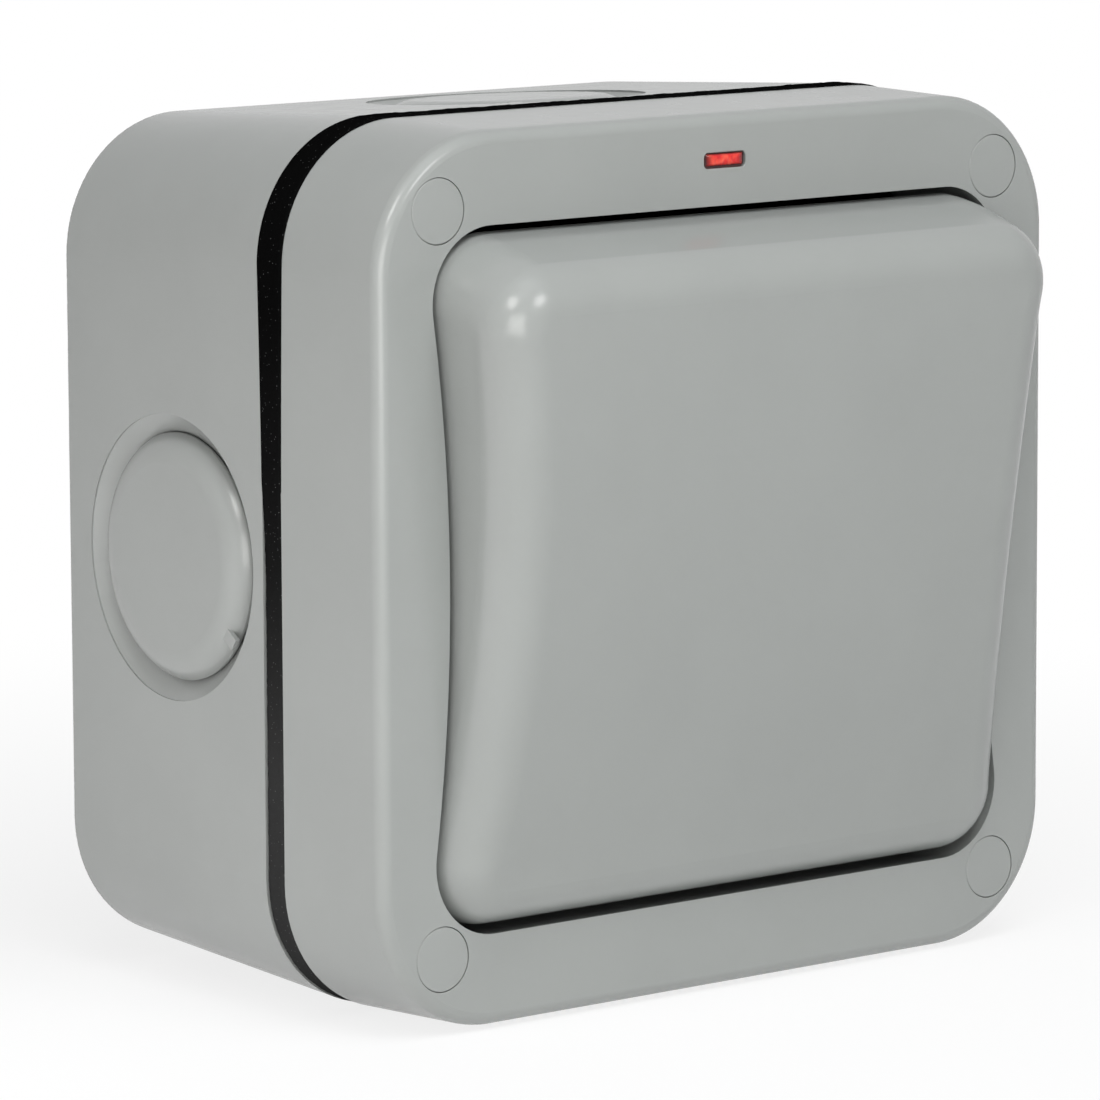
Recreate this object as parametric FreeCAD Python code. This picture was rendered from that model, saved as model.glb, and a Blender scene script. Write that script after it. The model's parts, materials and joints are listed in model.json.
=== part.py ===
import FreeCAD, Part
import math
import os

# Outdoor weatherproof double-pole rocker switch, in millimetres.
# The origin is the centre of the rear face, which sits on the wall at y = 0.
# +Z is up, +X is to the right seen from the front, and the front looks along -Y.
# The model stands with the bottom of the rocker pressed in, which is the ON state.

V = FreeCAD.Vector
X_AXIS = V(1, 0, 0)
Y_AXIS = V(0, 1, 0)
Z_AXIS = V(0, 0, 1)
OVERRUN = 1.0               # cutting tools run on past the faces they open
SAME_PLACE = 1e-3           # points nearer than this are taken as one

# Enclosure
SEAM_SIDE = 92.0            # square side of box and cover where they meet
SEAM_CORNER = 14.5          # corner radius at the seam
BOX_DRAFT = 1.75            # each side, from the rim to the wall
COVER_DRAFT = 0.4           # each side, from the rim to the face
BOX_DEPTH = 36.15           # wall face to box rim
SEAM_SEAL_THICKNESS = 3.1
COVER_DEPTH = 15.5
WALL = 2.6                  # side walls of box and cover
BOX_FLOOR = 2.8
COVER_FRONT_WALL = 3.0
FACE_EDGE_RADIUS = 1.4
REAR_EDGE_RADIUS = 0.8
SEAM_SEAL_INSET = 0.4       # seal stands back from the outer walls
SEAM_SEAL_WIDTH = 2.6

# Cover screws, their seals and caps
SCREW_INSET = 8.1           # screw axes from the enclosure's sides
PILLAR_RADIUS = 4.6
COVER_SCREW_RADIUS = 1.75
COVER_SCREW_HEAD_RADIUS = 3.0
COVER_SCREW_HEAD_HEIGHT = 2.4
COVER_SCREW_GRIP = 13.0     # length in the box pillar
COVER_SCREW_SLOT = 0.9
SCREW_HOLE_PLAY = 0.3
THREAD_PLAY = 0.05
SCREW_TIP_ROOM = 1.0        # blind holes run on past the screws' tips
SCREW_SEAL_HEIGHT = 1.1
CAP_RADIUS = 3.4
CAP_HEIGHT = 1.6
CAP_PLAY = 0.06
CAP_EDGE_RADIUS = 0.15
CAP_HEAD_GAP = 0.2

# Cable entries and their blanking plugs
ENTRY_DEPTH_POS = 19.45     # entry axes from the wall face
ENTRY_RADIUS = 10.2
ENTRY_RECESS_RADIUS = 14.95
ENTRY_RECESS_STEP = 0.2     # straight part of the recess's side, the rest is conical
ENTRY_RECESS_DEPTH = 2.1
ENTRY_FLOOR_RADIUS = 12.5
ENTRY_BOSS_WALL = 1.4       # wall left under the recess
ENTRY_BOSS_RIM = 1.9
PLUG_FLANGE_RADIUS = 12.9
PLUG_ROLL = 3.0             # width of the flange's rolled edge
PLUG_EDGE_LAND = 0.3        # straight part of the flange's edge
PLUG_PROUD_SIDES = 0.6      # faces of the left and right plugs in front of their walls
PLUG_PROUD_ENDS = 0.1       # faces of the top and bottom plugs
PLUG_PLAY = 0.2
PLUG_WALL = 1.5
PLUG_SNAP = 0.6
PLUG_SNAP_LENGTH = 1.2
PLUG_SNAP_GAP = 0.1
PLUG_NIB_WIDTH = 1.4
PLUG_NIB_LENGTH = 0.8
PLUG_NIB_THICKNESS = 0.5
PLUG_NIB_SUNK = 0.05        # below the wall around the recess
PLUG_NIB_ANGLE = -35.0      # from the side that faces the cover, downwards on the left plug
PLUG_SEAL_THICKNESS = 0.5
PLUG_SEAL_RIM = 0.6         # flange stands out past its seal

# Wall fixing and earth
FIXING_INSET = 20.0         # fixing holes from the enclosure's sides
FIXING_RADIUS = 3.1
FIXING_COLLAR_RADIUS = 5.3
FIXING_COLLAR_HEIGHT = 1.6
KNOCKOUT_RADIUS = 10.2
KNOCKOUT_GROOVE = 1.0
KNOCKOUT_GROOVE_DEPTH = 1.4
EARTH_INSET = 15.0          # earth terminal from the enclosure's lower side
EARTH_WIDTH = 9.0
EARTH_HEIGHT = 7.0
EARTH_LENGTH = 9.0
EARTH_WIRE_RADIUS = 2.0
EARTH_SCREW_RADIUS = 1.5

# Rocker, its aperture and pivot
APERTURE_SIDE_MARGIN = 9.35  # waist to the enclosure's sides, at mid height
APERTURE_END_MARGIN = 9.9   # aperture's ends to the enclosure's sides, at the cover's face
APERTURE_FLARE = 3.4        # each side, at the aperture's top and bottom
APERTURE_CORNER = 7.6
PIVOT_DEPTH = 6.0           # rocker axis behind the cover's face
ROCKER_SIDE_GAP = 0.7
ROCKER_END_GAP = 1.0
ROCKER_CROWN = 8.3          # face proud of the cover at mid travel
ROCKER_FACE_RADIUS = 300.0
ROCKER_SHOULDER = 5.2
ROCKER_SKIRT = 6.6          # skirt's rear edge behind the cover's face at mid travel
ROCKER_WALL = 2.2
ROCKER_TILT = 8.3           # each way from mid travel
TRUNNION_RADIUS = 2.0
TRUNNION_PLAY = 0.06
TRUNNION_EAR_RADIUS = 4.0
TRUNNION_EAR_STEP = 0.6     # ear stands in from the rocker's inner wall
TRUNNION_EAR_SETBACK = 0.1
BEARING_RADIUS = 4.2
BEARING_THICKNESS = 3.2
BEARING_FLOAT = 0.3
COLLAR_WALL = 1.8
RIB_OFFSET = 16.0
RIB_THICKNESS = 1.4
RIB_LENGTH = 36.0
RIB_DEPTH = 4.0             # rib's rear edge behind the cover's face

# Switch mechanism behind the rocker
ROCKER_SEAL_THICKNESS = 1.0
ROCKER_SEAL_CLEARANCE = 0.65
ROCKER_SEAL_OPENING_X = 20.0
ROCKER_SEAL_OPENING_Z = 17.0
ROCKER_SEAL_LIP = 1.0
ROCKER_SEAL_PLAY = 0.1      # round the cover's pillars and bosses
PLATE_THICKNESS = 1.8
PLATE_SCREW_EDGE = 7.0      # screw axis to the plate's side edge
PLATE_CORNER = 5.0
PLATE_MARGIN = 0.5          # plate to cover wall
PLATE_OPENING_PLAY = 0.6    # round the dolly's hub
PLATE_OPENING_Z = 14.0
PLATE_SCREW_INSET_X = 22.0  # plate screws from the enclosure's sides
PLATE_SCREW_INSET_Z = 6.0
PLATE_BOSS_RADIUS = 2.9
SMALL_SCREW_RADIUS = 1.3
SMALL_HEAD_RADIUS = 2.5
SMALL_HEAD_HEIGHT = 1.3
SMALL_SCREW_GRIP = 7.0
FORK_ARM = 4.65             # rocker axis to lever tip
LEVER_ARM = 6.7             # lever tip to dolly axis
LEVER_RADIUS = 1.5
LEVER_NECK = 1.9            # lever's thickness between its round tip and the hub
LEVER_WIDTH = 6.0
FORK_PLAY = 0.1
FORK_WALL = 1.8
FORK_WIDTH = 9.0
FORK_OVERLAP = 1.2
DOLLY_HUB_RADIUS = 3.2
DOLLY_WIDTH = 20.6
DOLLY_PIN_RADIUS = 1.5
DOLLY_PIN_PLAY = 0.06
DOLLY_PIN_BITE = 1.3
POLE_OFFSET = 6.0
SOCKET_RADIUS = 2.4
SOCKET_REACH = 7.5
SOCKET_FLOOR = 2.3
PLUNGER_RADIUS = 1.4
PLUNGER_PLAY = 0.06
PLUNGER_LENGTH = 4.6
SPRING_WIRE = 0.22
SPRING_TURNS = 3.0
PLUNGER_GAP = 0.15
BASE_WIDTH = 48.0
BASE_HEIGHT = 32.0
BASE_DEPTH = 20.0
BASE_CORNER = 2.0
BASE_WALL = 1.6
CAVITY_WIDTH = 23.0
CAVITY_HEIGHT = 27.0
BARRIER = 1.2
BARRIER_DEPTH = 8.0
BASE_SCREW_X = 19.5
BLADE_WIDTH = 3.6
BLADE_THICKNESS = 0.8
BLADE_LENGTH = 18.0
BLADE_TILT = 4.0            # each way from mid travel
BLADE_PIVOT_RADIUS = 1.2
BLADE_PIVOT_SETBACK = 0.25  # axis behind the blade's rear face
BLADE_PIVOT_PLAY = 0.06
CONTACT_RADIUS = 1.3
CONTACT_HEIGHT = 0.6
CONTACT_OFFSET = 7.6
CONTACT_GAP = 0.2
SADDLE_CLEARANCE = 0.35
SADDLE_LENGTH = 4.4
STRIP_THICKNESS = 0.8
STRIP_WIDTH = 3.0
STRIP_PLAY = 0.1
TERMINAL_WIDTH = 8.0
TERMINAL_HEIGHT = 10.5
TERMINAL_DEPTH = 9.0
TERMINAL_PLAY = 0.3
TERMINAL_REAR_GAP = 0.4
WIRE_RADIUS = 2.1
TERMINAL_SCREW_RADIUS = 1.7
TERMINAL_SCREW_HEAD = 0.5
SCREW_SLOT = 0.8

# Indicator
INDICATOR_INSET = 5.15      # indicator's axis from the enclosure's upper side
INDICATOR_WIDTH = 5.8
INDICATOR_HEIGHT = 2.3
INDICATOR_CORNER = 0.8
LENS_PLAY = 0.25
LENS_SETBACK = 0.15
LENS_FLANGE = 0.9
LENS_FLANGE_THICKNESS = 0.9
LAMP_RADIUS = 1.9
LAMP_LENGTH = 10.0
LAMP_GAP = 0.3              # lamp behind the lens
LAMP_PLAY = 0.1
CRADLE_X = 3.2
CRADLE_THICKNESS = 1.2

# Places that follow from the sizes
BOX_REAR_SIDE = SEAM_SIDE - 2 * BOX_DRAFT
COVER_FRONT_SIDE = SEAM_SIDE - 2 * COVER_DRAFT
SCREW_OFFSET = SEAM_SIDE / 2 - SCREW_INSET
FIXING_OFFSET = SEAM_SIDE / 2 - FIXING_INSET
EARTH_Z = EARTH_INSET - SEAM_SIDE / 2
APERTURE_WAIST = SEAM_SIDE - 2 * APERTURE_SIDE_MARGIN
APERTURE_HEIGHT = SEAM_SIDE - 2 * APERTURE_END_MARGIN
PLATE_SCREW_X = SEAM_SIDE / 2 - PLATE_SCREW_INSET_X
PLATE_SCREW_Z = SEAM_SIDE / 2 - PLATE_SCREW_INSET_Z
PLATE_WIDTH = 2 * (PLATE_SCREW_X + PLATE_SCREW_EDGE)
INDICATOR_Z = SEAM_SIDE / 2 - INDICATOR_INSET
BOX_RIM_Y = -BOX_DEPTH
COVER_RIM_Y = BOX_RIM_Y - SEAM_SEAL_THICKNESS
FACE_Y = COVER_RIM_Y - COVER_DEPTH
COVER_INNER_Y = FACE_Y + COVER_FRONT_WALL
PIVOT_Y = FACE_Y + PIVOT_DEPTH
WELL_END_RADIUS = math.hypot(APERTURE_HEIGHT / 2, PIVOT_DEPTH)
SKIRT_SWEEP = math.sin(math.radians(ROCKER_TILT)) * WELL_END_RADIUS
ROCKER_SEAL_Y = FACE_Y + ROCKER_SKIRT + SKIRT_SWEEP + ROCKER_SEAL_CLEARANCE
PLATE_Y = ROCKER_SEAL_Y + ROCKER_SEAL_THICKNESS
BASE_Y = PLATE_Y + PLATE_THICKNESS
BASE_REAR_Y = BASE_Y + BASE_DEPTH
DOLLY_Y = PIVOT_Y + FORK_ARM + LEVER_ARM
DOLLY_TILT = ROCKER_TILT * FORK_ARM / LEVER_ARM
PLUNGER_TIP = SOCKET_FLOOR + (SOCKET_REACH - SOCKET_FLOOR) / 2 + PLUNGER_LENGTH
BLADE_Y = DOLLY_Y + PLUNGER_TIP + PLUNGER_GAP
BLADE_AXIS_Y = BLADE_Y + BLADE_THICKNESS + BLADE_PIVOT_SETBACK
SADDLE_Y = BLADE_AXIS_Y - BLADE_PIVOT_SETBACK + SADDLE_CLEARANCE
STRIP_Y = BLADE_AXIS_Y + BLADE_PIVOT_RADIUS + BLADE_PIVOT_PLAY + STRIP_THICKNESS
CAVITY_REAR_Y = STRIP_Y + STRIP_THICKNESS + STRIP_PLAY
CAP_SEAT_Y = FACE_Y + CAP_HEIGHT
SCREW_HEAD_Y = CAP_SEAT_Y + CAP_HEAD_GAP
SCREW_SEAL_Y = SCREW_HEAD_Y + COVER_SCREW_HEAD_HEIGHT
SCREW_SEAT_Y = SCREW_SEAL_Y + SCREW_SEAL_HEIGHT
ENTRY_Y = -ENTRY_DEPTH_POS
DRAFT_SHARE = ENTRY_DEPTH_POS / BOX_DEPTH
DRAFT_ANGLE = math.degrees(math.atan2(BOX_DRAFT, BOX_DEPTH))
ENTRY_FACE = (BOX_REAR_SIDE + (SEAM_SIDE - BOX_REAR_SIDE) * DRAFT_SHARE) / 2
ENTRY_SEAT = ENTRY_FACE - ENTRY_RECESS_DEPTH
ENTRY_INNER = ENTRY_SEAT - ENTRY_BOSS_WALL
TERMINAL_X = CAVITY_WIDTH / 2 + BASE_WALL + TERMINAL_PLAY + TERMINAL_WIDTH / 2
TERMINAL_Z = BASE_HEIGHT / 2 - BASE_WALL - TERMINAL_PLAY - TERMINAL_HEIGHT / 2
TERMINAL_REAR_Y = BASE_REAR_Y - TERMINAL_REAR_GAP
TERMINAL_FRONT_Y = TERMINAL_REAR_Y - TERMINAL_DEPTH
LENS_REAR_Y = COVER_INNER_Y + LENS_FLANGE_THICKNESS
LAMP_Y = LENS_REAR_Y + LAMP_GAP + LAMP_RADIUS
CORNERS = [(x, z) for x in (-1, 1) for z in (-1, 1)]


def block(x0, x1, y0, y1, z0, z1):
    """A box between two corners."""
    return Part.makeBox(x1 - x0, y1 - y0, z1 - z0, V(x0, y0, z0))


def rod_x(radius, x0, x1, y, z):
    return Part.makeCylinder(radius, x1 - x0, V(x0, y, z), X_AXIS)


def rod_y(radius, y0, y1, x, z):
    return Part.makeCylinder(radius, y1 - y0, V(x, y0, z), Y_AXIS)


def rod_z(radius, z0, z1, x, y):
    return Part.makeCylinder(radius, z1 - z0, V(x, y, z0), Z_AXIS)


def joined(first, *others):
    """One clean solid from overlapping pieces."""
    return first.fuse(list(others)).removeSplitter()


def group(solids):
    """Separate solids that share one node."""
    return Part.makeCompound(solids)


def rounded_wire(width, height, radius, y, x=0.0, z=0.0):
    """A rounded rectangle in a plane of constant y."""
    a = width / 2
    b = height / 2
    s = radius * (1 - math.sqrt(0.5))
    edges = []
    turns = [(1, 1), (-1, 1), (-1, -1), (1, -1)]
    for k, (i, j) in enumerate(turns):
        side = V(x + i * a, y, z + j * (b - radius))
        middle = V(x + i * (a - s), y, z + j * (b - s))
        end = V(x + i * (a - radius), y, z + j * b)
        arc = (side, middle, end) if i * j > 0 else (end, middle, side)
        edges.append(Part.Arc(*arc).toShape())
        m, n = turns[(k + 1) % 4]
        if m != i:
            goal = V(x + m * (a - radius), y, z + n * b)
        else:
            goal = V(x + m * a, y, z + n * (b - radius))
        edges.append(Part.makeLine(arc[2], goal))
    return Part.Wire(edges)


def rounded_plate(width, height, radius, y0, y1, x=0.0, z=0.0):
    face = Part.Face(rounded_wire(width, height, radius, y0, x, z))
    return face.extrude(V(0, y1 - y0, 0))


def tapered_body(side_a, radius_a, y_a, side_b, radius_b, y_b):
    """A square body with round corners and drafted sides."""
    ends = [rounded_wire(side_a, side_a, radius_a, y_a), rounded_wire(side_b, side_b, radius_b, y_b)]
    return Part.makeLoft(ends, True, True)


def edges_at_y(solid, y):
    """The edges that lie in the plane of constant y."""
    return [e for e in solid.Edges if all(abs(p.Y - y) < SAME_PLACE for p in e.Vertexes)]


def waisted_block(inset, y_front, y_rear):
    """The aperture's form, less an inset: concave sides, and ends that are arcs about the rocker axis."""
    waist = APERTURE_WAIST / 2 - inset
    half_height = APERTURE_HEIGHT / 2
    side_radius = (half_height ** 2 + APERTURE_FLARE ** 2) / (2 * APERTURE_FLARE)
    reach = WELL_END_RADIUS + COLLAR_WALL + OVERRUN
    wide = waist + side_radius - math.sqrt(side_radius ** 2 - reach ** 2)
    right = Part.Arc(V(wide, y_front, -reach), V(waist, y_front, 0), V(wide, y_front, reach)).toShape()
    left = Part.Arc(V(-wide, y_front, reach), V(-waist, y_front, 0), V(-wide, y_front, -reach)).toShape()
    top = Part.makeLine(V(wide, y_front, reach), V(-wide, y_front, reach))
    bottom = Part.makeLine(V(-wide, y_front, -reach), V(wide, y_front, -reach))
    return Part.Face(Part.Wire([right, top, left, bottom])).extrude(V(0, y_rear - y_front, 0))


def end_drum(radius):
    """The cylinder about the rocker axis that bounds the top and bottom ends."""
    return rod_x(radius, -SEAM_SIDE / 2, SEAM_SIDE / 2, PIVOT_Y, 0)


def rounded_corners(solid, radius):
    """Round the four edges that run from front to rear."""
    depth = solid.BoundBox.YLength
    edges = [e for e in solid.Edges if abs(e.Vertexes[0].Y - e.Vertexes[-1].Y) > depth / 2]
    return solid.makeFillet(radius, edges)


def well(inset, y_front, y_rear):
    """A waisted block with its end arcs and round corners, negative insets outwards."""
    form = waisted_block(inset, y_front, y_rear).common(end_drum(WELL_END_RADIUS - inset))
    return rounded_corners(form, APERTURE_CORNER - inset)


def to_entry(solid, turn):
    """Lean a piece made at the right-hand entry to the drafted wall, and turn it to its side."""
    solid.rotate(V(ENTRY_FACE, ENTRY_Y, 0), Z_AXIS, DRAFT_ANGLE)
    solid.rotate(V(0, 0, 0), Y_AXIS, 90 * turn)
    return solid


def back_box():
    outer = tapered_body(BOX_REAR_SIDE, SEAM_CORNER, 0, SEAM_SIDE, SEAM_CORNER, BOX_RIM_Y)
    outer = outer.makeFillet(REAR_EDGE_RADIUS, edges_at_y(outer, 0))
    inner_corner = SEAM_CORNER - WALL
    inner = tapered_body(BOX_REAR_SIDE - 2 * WALL, inner_corner, -BOX_FLOOR,
                         SEAM_SIDE - 2 * WALL, inner_corner, BOX_RIM_Y)
    box = outer.cut(inner)
    added = []
    for i, j in CORNERS:
        pillar = rod_y(PILLAR_RADIUS, BOX_RIM_Y, -BOX_FLOOR / 2, i * SCREW_OFFSET, j * SCREW_OFFSET)
        added.append(pillar.common(outer))
        added.append(rod_y(FIXING_COLLAR_RADIUS, -BOX_FLOOR - FIXING_COLLAR_HEIGHT, -BOX_FLOOR / 2,
                           i * FIXING_OFFSET, j * FIXING_OFFSET))
    boss_radius = ENTRY_RECESS_RADIUS + ENTRY_BOSS_RIM
    for turn in range(4):
        boss = rod_x(boss_radius, ENTRY_INNER, ENTRY_FACE, ENTRY_Y, 0)
        added.append(to_entry(boss, turn).common(outer))
    box = joined(box, *added)
    cuts = []
    for turn in range(4):
        step_x = ENTRY_FACE - ENTRY_RECESS_STEP
        recess = rod_x(ENTRY_RECESS_RADIUS, step_x, SEAM_SIDE, ENTRY_Y, 0)
        slope = Part.makeCone(ENTRY_FLOOR_RADIUS, ENTRY_RECESS_RADIUS, step_x - ENTRY_SEAT,
                              V(ENTRY_SEAT, ENTRY_Y, 0), X_AXIS)
        hole = rod_x(ENTRY_RADIUS, ENTRY_INNER - ENTRY_BOSS_WALL, SEAM_SIDE, ENTRY_Y, 0)
        cuts += [to_entry(solid, turn) for solid in (recess, slope, hole)]
    screw_hole = COVER_SCREW_RADIUS + THREAD_PLAY
    for i, j in CORNERS:
        cuts.append(rod_y(screw_hole, BOX_RIM_Y - OVERRUN, BOX_RIM_Y + COVER_SCREW_GRIP + SCREW_TIP_ROOM,
                          i * SCREW_OFFSET, j * SCREW_OFFSET))
        cuts.append(rod_y(FIXING_RADIUS, -BOX_FLOOR - FIXING_COLLAR_HEIGHT, OVERRUN,
                          i * FIXING_OFFSET, j * FIXING_OFFSET))
    groove = rod_y(KNOCKOUT_RADIUS + KNOCKOUT_GROOVE, -KNOCKOUT_GROOVE_DEPTH, OVERRUN, 0, 0)
    cuts.append(groove.cut(rod_y(KNOCKOUT_RADIUS, -BOX_FLOOR, 2 * OVERRUN, 0, 0)))
    return box.cut(cuts)


def seam_gasket():
    side = SEAM_SIDE - 2 * SEAM_SEAL_INSET
    corner = SEAM_CORNER - SEAM_SEAL_INSET
    hole_side = side - 2 * SEAM_SEAL_WIDTH
    ring = rounded_plate(side, side, corner, COVER_RIM_Y, BOX_RIM_Y)
    ring = ring.cut(rounded_plate(hole_side, hole_side, corner - SEAM_SEAL_WIDTH, COVER_RIM_Y, BOX_RIM_Y))
    lobes = []
    holes = []
    for i, j in CORNERS:
        lobes.append(rod_y(PILLAR_RADIUS, COVER_RIM_Y, BOX_RIM_Y, i * SCREW_OFFSET, j * SCREW_OFFSET))
        holes.append(rod_y(COVER_SCREW_RADIUS + SCREW_HOLE_PLAY, COVER_RIM_Y, BOX_RIM_Y,
                           i * SCREW_OFFSET, j * SCREW_OFFSET))
    return joined(ring, *lobes).cut(holes)


def front_cover():
    outer = tapered_body(SEAM_SIDE, SEAM_CORNER, COVER_RIM_Y, COVER_FRONT_SIDE, SEAM_CORNER, FACE_Y)
    outer = outer.makeFillet(FACE_EDGE_RADIUS, edges_at_y(outer, FACE_Y))
    inner_corner = SEAM_CORNER - WALL
    inner = tapered_body(SEAM_SIDE - 2 * WALL, inner_corner, COVER_RIM_Y,
                         COVER_FRONT_SIDE - 2 * WALL, inner_corner, COVER_INNER_Y)
    cover = outer.cut(inner)
    overlap_y = FACE_Y + COVER_FRONT_WALL / 2
    added = [well(-COLLAR_WALL, overlap_y, ROCKER_SEAL_Y)]
    for i, j in CORNERS:
        pillar = rod_y(PILLAR_RADIUS, overlap_y, COVER_RIM_Y, i * SCREW_OFFSET, j * SCREW_OFFSET)
        added.append(pillar.common(outer))
        added.append(rod_y(PLATE_BOSS_RADIUS, overlap_y, PLATE_Y, i * PLATE_SCREW_X, j * PLATE_SCREW_Z))
    bearing_end = APERTURE_WAIST / 2 + BEARING_THICKNESS
    added.append(rod_x(BEARING_RADIUS, -bearing_end, bearing_end, PIVOT_Y, 0))
    for x in (-CRADLE_X, CRADLE_X):
        rib = block(x - CRADLE_THICKNESS / 2, x + CRADLE_THICKNESS / 2, overlap_y, LAMP_Y + LAMP_RADIUS,
                    APERTURE_HEIGHT / 2, SEAM_SIDE / 2 - WALL / 2)
        added.append(rib)
    cover = joined(cover, *added)
    cuts = [well(0, FACE_Y - OVERRUN, ROCKER_SEAL_Y + OVERRUN)]
    pivot_end = SEAM_SIDE / 2 - WALL
    cuts.append(rod_x(TRUNNION_RADIUS + TRUNNION_PLAY, -pivot_end, pivot_end, PIVOT_Y, 0))
    for i, j in CORNERS:
        x = i * SCREW_OFFSET
        z = j * SCREW_OFFSET
        cuts.append(rod_y(CAP_RADIUS, FACE_Y - OVERRUN, SCREW_SEAT_Y, x, z))
        cuts.append(rod_y(COVER_SCREW_RADIUS + SCREW_HOLE_PLAY, FACE_Y, COVER_RIM_Y + OVERRUN, x, z))
        cuts.append(rod_y(SMALL_SCREW_RADIUS + THREAD_PLAY, COVER_INNER_Y, PLATE_Y + OVERRUN,
                          i * PLATE_SCREW_X, j * PLATE_SCREW_Z))
    cuts.append(rounded_plate(INDICATOR_WIDTH, INDICATOR_HEIGHT, INDICATOR_CORNER,
                              FACE_Y - OVERRUN, COVER_INNER_Y + OVERRUN, 0, INDICATOR_Z))
    cuts.append(lens_flange(LENS_PLAY))
    lamp_way = LAMP_RADIUS + LAMP_PLAY
    cuts.append(rod_x(lamp_way, -LAMP_LENGTH, LAMP_LENGTH, LAMP_Y, INDICATOR_Z))
    cuts.append(block(-LAMP_LENGTH, LAMP_LENGTH, LAMP_Y, LAMP_Y + 2 * LAMP_RADIUS,
                      INDICATOR_Z - lamp_way, INDICATOR_Z + lamp_way))
    return cover.cut(cuts)


def lens_flange(play):
    """The lens flange behind the front wall, grown by the play where it cuts its seat."""
    width = INDICATOR_WIDTH - 2 * LENS_PLAY + 2 * LENS_FLANGE + 2 * play
    height = INDICATOR_HEIGHT - 2 * LENS_PLAY + 2 * LENS_FLANGE + 2 * play
    return rounded_plate(width, height, INDICATOR_CORNER, COVER_INNER_Y, LENS_REAR_Y, 0, INDICATOR_Z)


def indicator_lens():
    body = rounded_plate(INDICATOR_WIDTH - 2 * LENS_PLAY, INDICATOR_HEIGHT - 2 * LENS_PLAY,
                         INDICATOR_CORNER - LENS_PLAY, FACE_Y + LENS_SETBACK, LENS_REAR_Y, 0, INDICATOR_Z)
    return joined(body, lens_flange(0))


def neon_lamp():
    """A small glass tube with round ends, lying along X behind the lens."""
    half = LAMP_LENGTH / 2 - LAMP_RADIUS
    tube = rod_x(LAMP_RADIUS, -half, half, LAMP_Y, INDICATOR_Z)
    ends = [Part.makeSphere(LAMP_RADIUS, V(x, LAMP_Y, INDICATOR_Z)) for x in (-half, half)]
    return joined(tube, *ends)


def rocker_form(inset, rear_y):
    """The paddle at mid travel: waisted sides, end arcs, and a crowned face with round shoulders."""
    crown_y = FACE_Y - ROCKER_CROWN + inset
    side = waisted_block(ROCKER_SIDE_GAP + inset, crown_y - OVERRUN, rear_y)
    end_radius = WELL_END_RADIUS - ROCKER_END_GAP - inset
    face_axis_y = crown_y + ROCKER_FACE_RADIUS
    crown = rod_x(ROCKER_FACE_RADIUS, -SEAM_SIDE / 2, SEAM_SIDE / 2, face_axis_y, 0)
    form = side.common(end_drum(end_radius)).common(crown)
    form = rounded_corners(form, APERTURE_CORNER - ROCKER_END_GAP - inset)

    def on_face(point):
        return abs(math.hypot(point.Y - face_axis_y, point.Z) - ROCKER_FACE_RADIUS) < SAME_PLACE

    rim = [e for e in form.Edges if all(on_face(p) for p in e.Vertexes)]
    return form.makeFillet(ROCKER_SHOULDER - inset, rim).Solids[0]


def rocker():
    skirt_y = FACE_Y + ROCKER_SKIRT
    outer = rocker_form(0, skirt_y)
    inner = rocker_form(ROCKER_WALL, skirt_y + ROCKER_WALL)
    side = APERTURE_WAIST / 2 - ROCKER_SIDE_GAP
    ear_root = side - ROCKER_WALL - TRUNNION_EAR_STEP
    ear_face = side - TRUNNION_EAR_SETBACK
    trunnion_end = APERTURE_WAIST / 2 + BEARING_THICKNESS - BEARING_FLOAT
    shell = outer.cut(inner)
    added = []
    for i in (-1, 1):
        ends = sorted((i * ear_root, i * ear_face))
        added.append(rod_x(TRUNNION_EAR_RADIUS, ends[0], ends[1], PIVOT_Y, 0))
        ends = sorted((i * ear_root, i * trunnion_end))
        added.append(rod_x(TRUNNION_RADIUS, ends[0], ends[1], PIVOT_Y, 0))
    root_y = FACE_Y - ROCKER_CROWN + ROCKER_WALL / 2
    for x in (-RIB_OFFSET, RIB_OFFSET):
        added.append(block(x - RIB_THICKNESS / 2, x + RIB_THICKNESS / 2, root_y, FACE_Y + RIB_DEPTH,
                           -RIB_LENGTH / 2, RIB_LENGTH / 2))
    fork_end = PIVOT_Y + FORK_ARM + FORK_OVERLAP
    gap = LEVER_RADIUS + FORK_PLAY
    for j in (-1, 1):
        near, far = sorted((j * gap, j * (gap + FORK_WALL)))
        added.append(block(-FORK_WIDTH / 2, FORK_WIDTH / 2, root_y, fork_end, near, far))
    paddle = joined(shell, *added)
    paddle.rotate(V(0, PIVOT_Y, 0), X_AXIS, ROCKER_TILT)
    return paddle


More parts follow.
